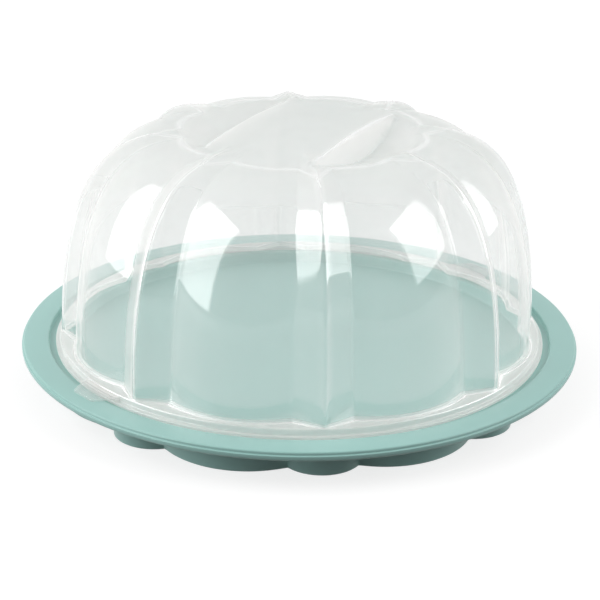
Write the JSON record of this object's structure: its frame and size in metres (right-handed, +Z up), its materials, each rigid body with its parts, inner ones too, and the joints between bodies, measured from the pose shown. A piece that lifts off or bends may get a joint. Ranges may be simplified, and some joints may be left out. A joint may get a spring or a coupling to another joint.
{
  "type": "cake keeper",
  "caption": "Round cake keeper: a shallow serving tray on a scalloped foot, covered by a fluted translucent dome lid with a pinch grip on top and lift tabs on its flange",
  "frame": {"origin": "middle of the foot's resting circle, on the table", "axes": "+Z up along the middle of both mouldings, -Y to the front through one ridge of the lid, +X to the right"},
  "size_m": [0.3306, 0.3306, 0.1504],
  "materials": {
    "tray": "satin moulded polypropylene, sea green",
    "lid": "gloss translucent polypropylene, natural"
  },
  "bodies": {
    "tray": {"tray": "tray"},
    "lid": {"lid": "lid"}
  },
  "joints": [
    {"name": "lid_lift", "type": "slide", "parent": "tray", "child": "lid", "axis": [0, 0, 1], "range_m": [0, 0.15]}
  ]
}
